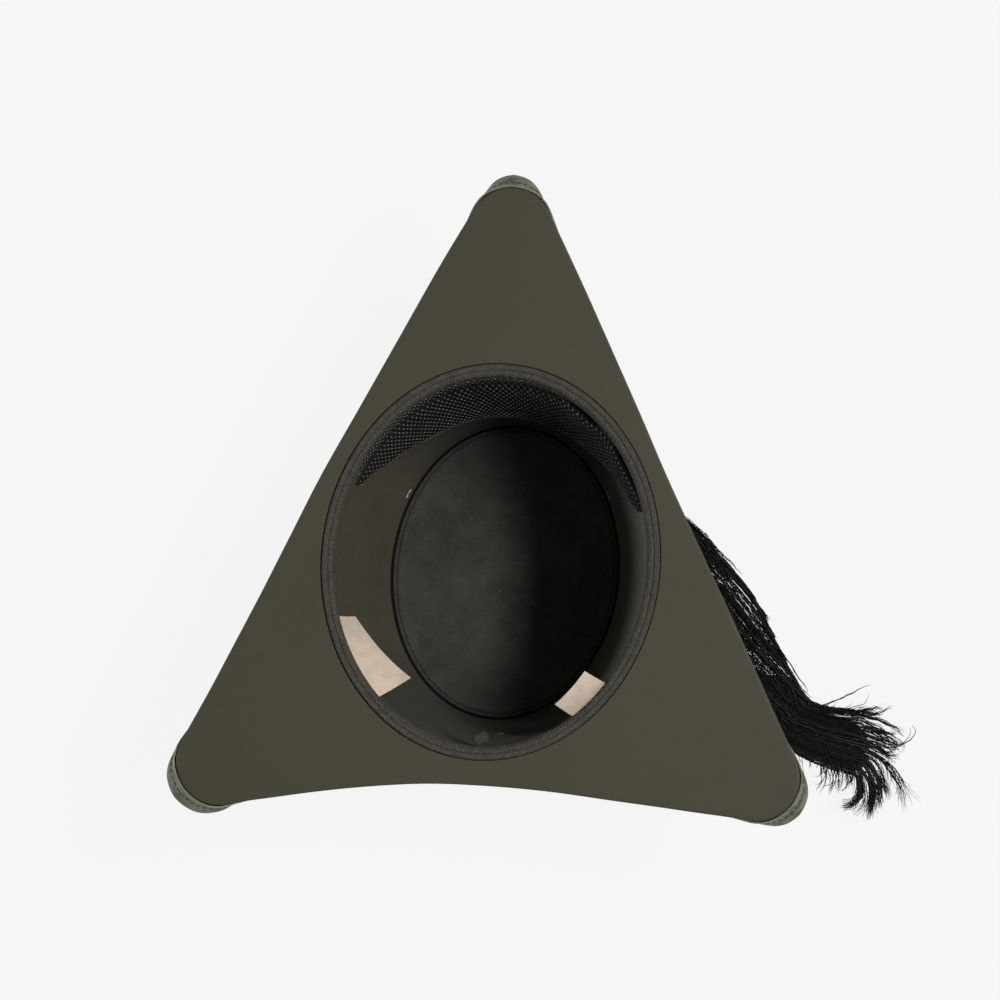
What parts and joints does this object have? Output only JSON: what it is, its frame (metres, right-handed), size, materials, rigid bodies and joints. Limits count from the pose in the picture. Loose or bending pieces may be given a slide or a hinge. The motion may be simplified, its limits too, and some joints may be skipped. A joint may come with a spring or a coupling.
{
  "type": "tricorn hat",
  "caption": "Leather tricorn hat with its brim turned up on three sides, a padded net across the forehead and a plume at one side, lying on the tip of its crown.",
  "frame": {"origin": "middle of the outer face of the crown's flat tip, which the hat lies on", "axes": "+Z out of the head opening, +Y to the brim's front point, +X to the wearer's left, where the plume is"},
  "size_m": [0.4124, 0.3541, 0.115],
  "materials": {
    "olive_leather": "matt dark olive",
    "suede_inside": "matt, brushed",
    "trim_leather": "satin, stitched",
    "black_net": "coarse net",
    "beige_satin": "woven satin, bare",
    "black_plume": "stringy feather"
  },
  "bodies": {
    "root": {"crown_side": "suede_inside", "crown_tip": "suede_inside", "brim": "olive_leather", "edge_binding": "trim_leather", "sweatband": "trim_leather", "sweatband_tab": "trim_leather", "forehead_mesh": "black_net", "maker_label": "beige_satin", "size_label": "beige_satin", "plume_holder": "trim_leather", "plume": "black_plume"}
  },
  "joints": []
}
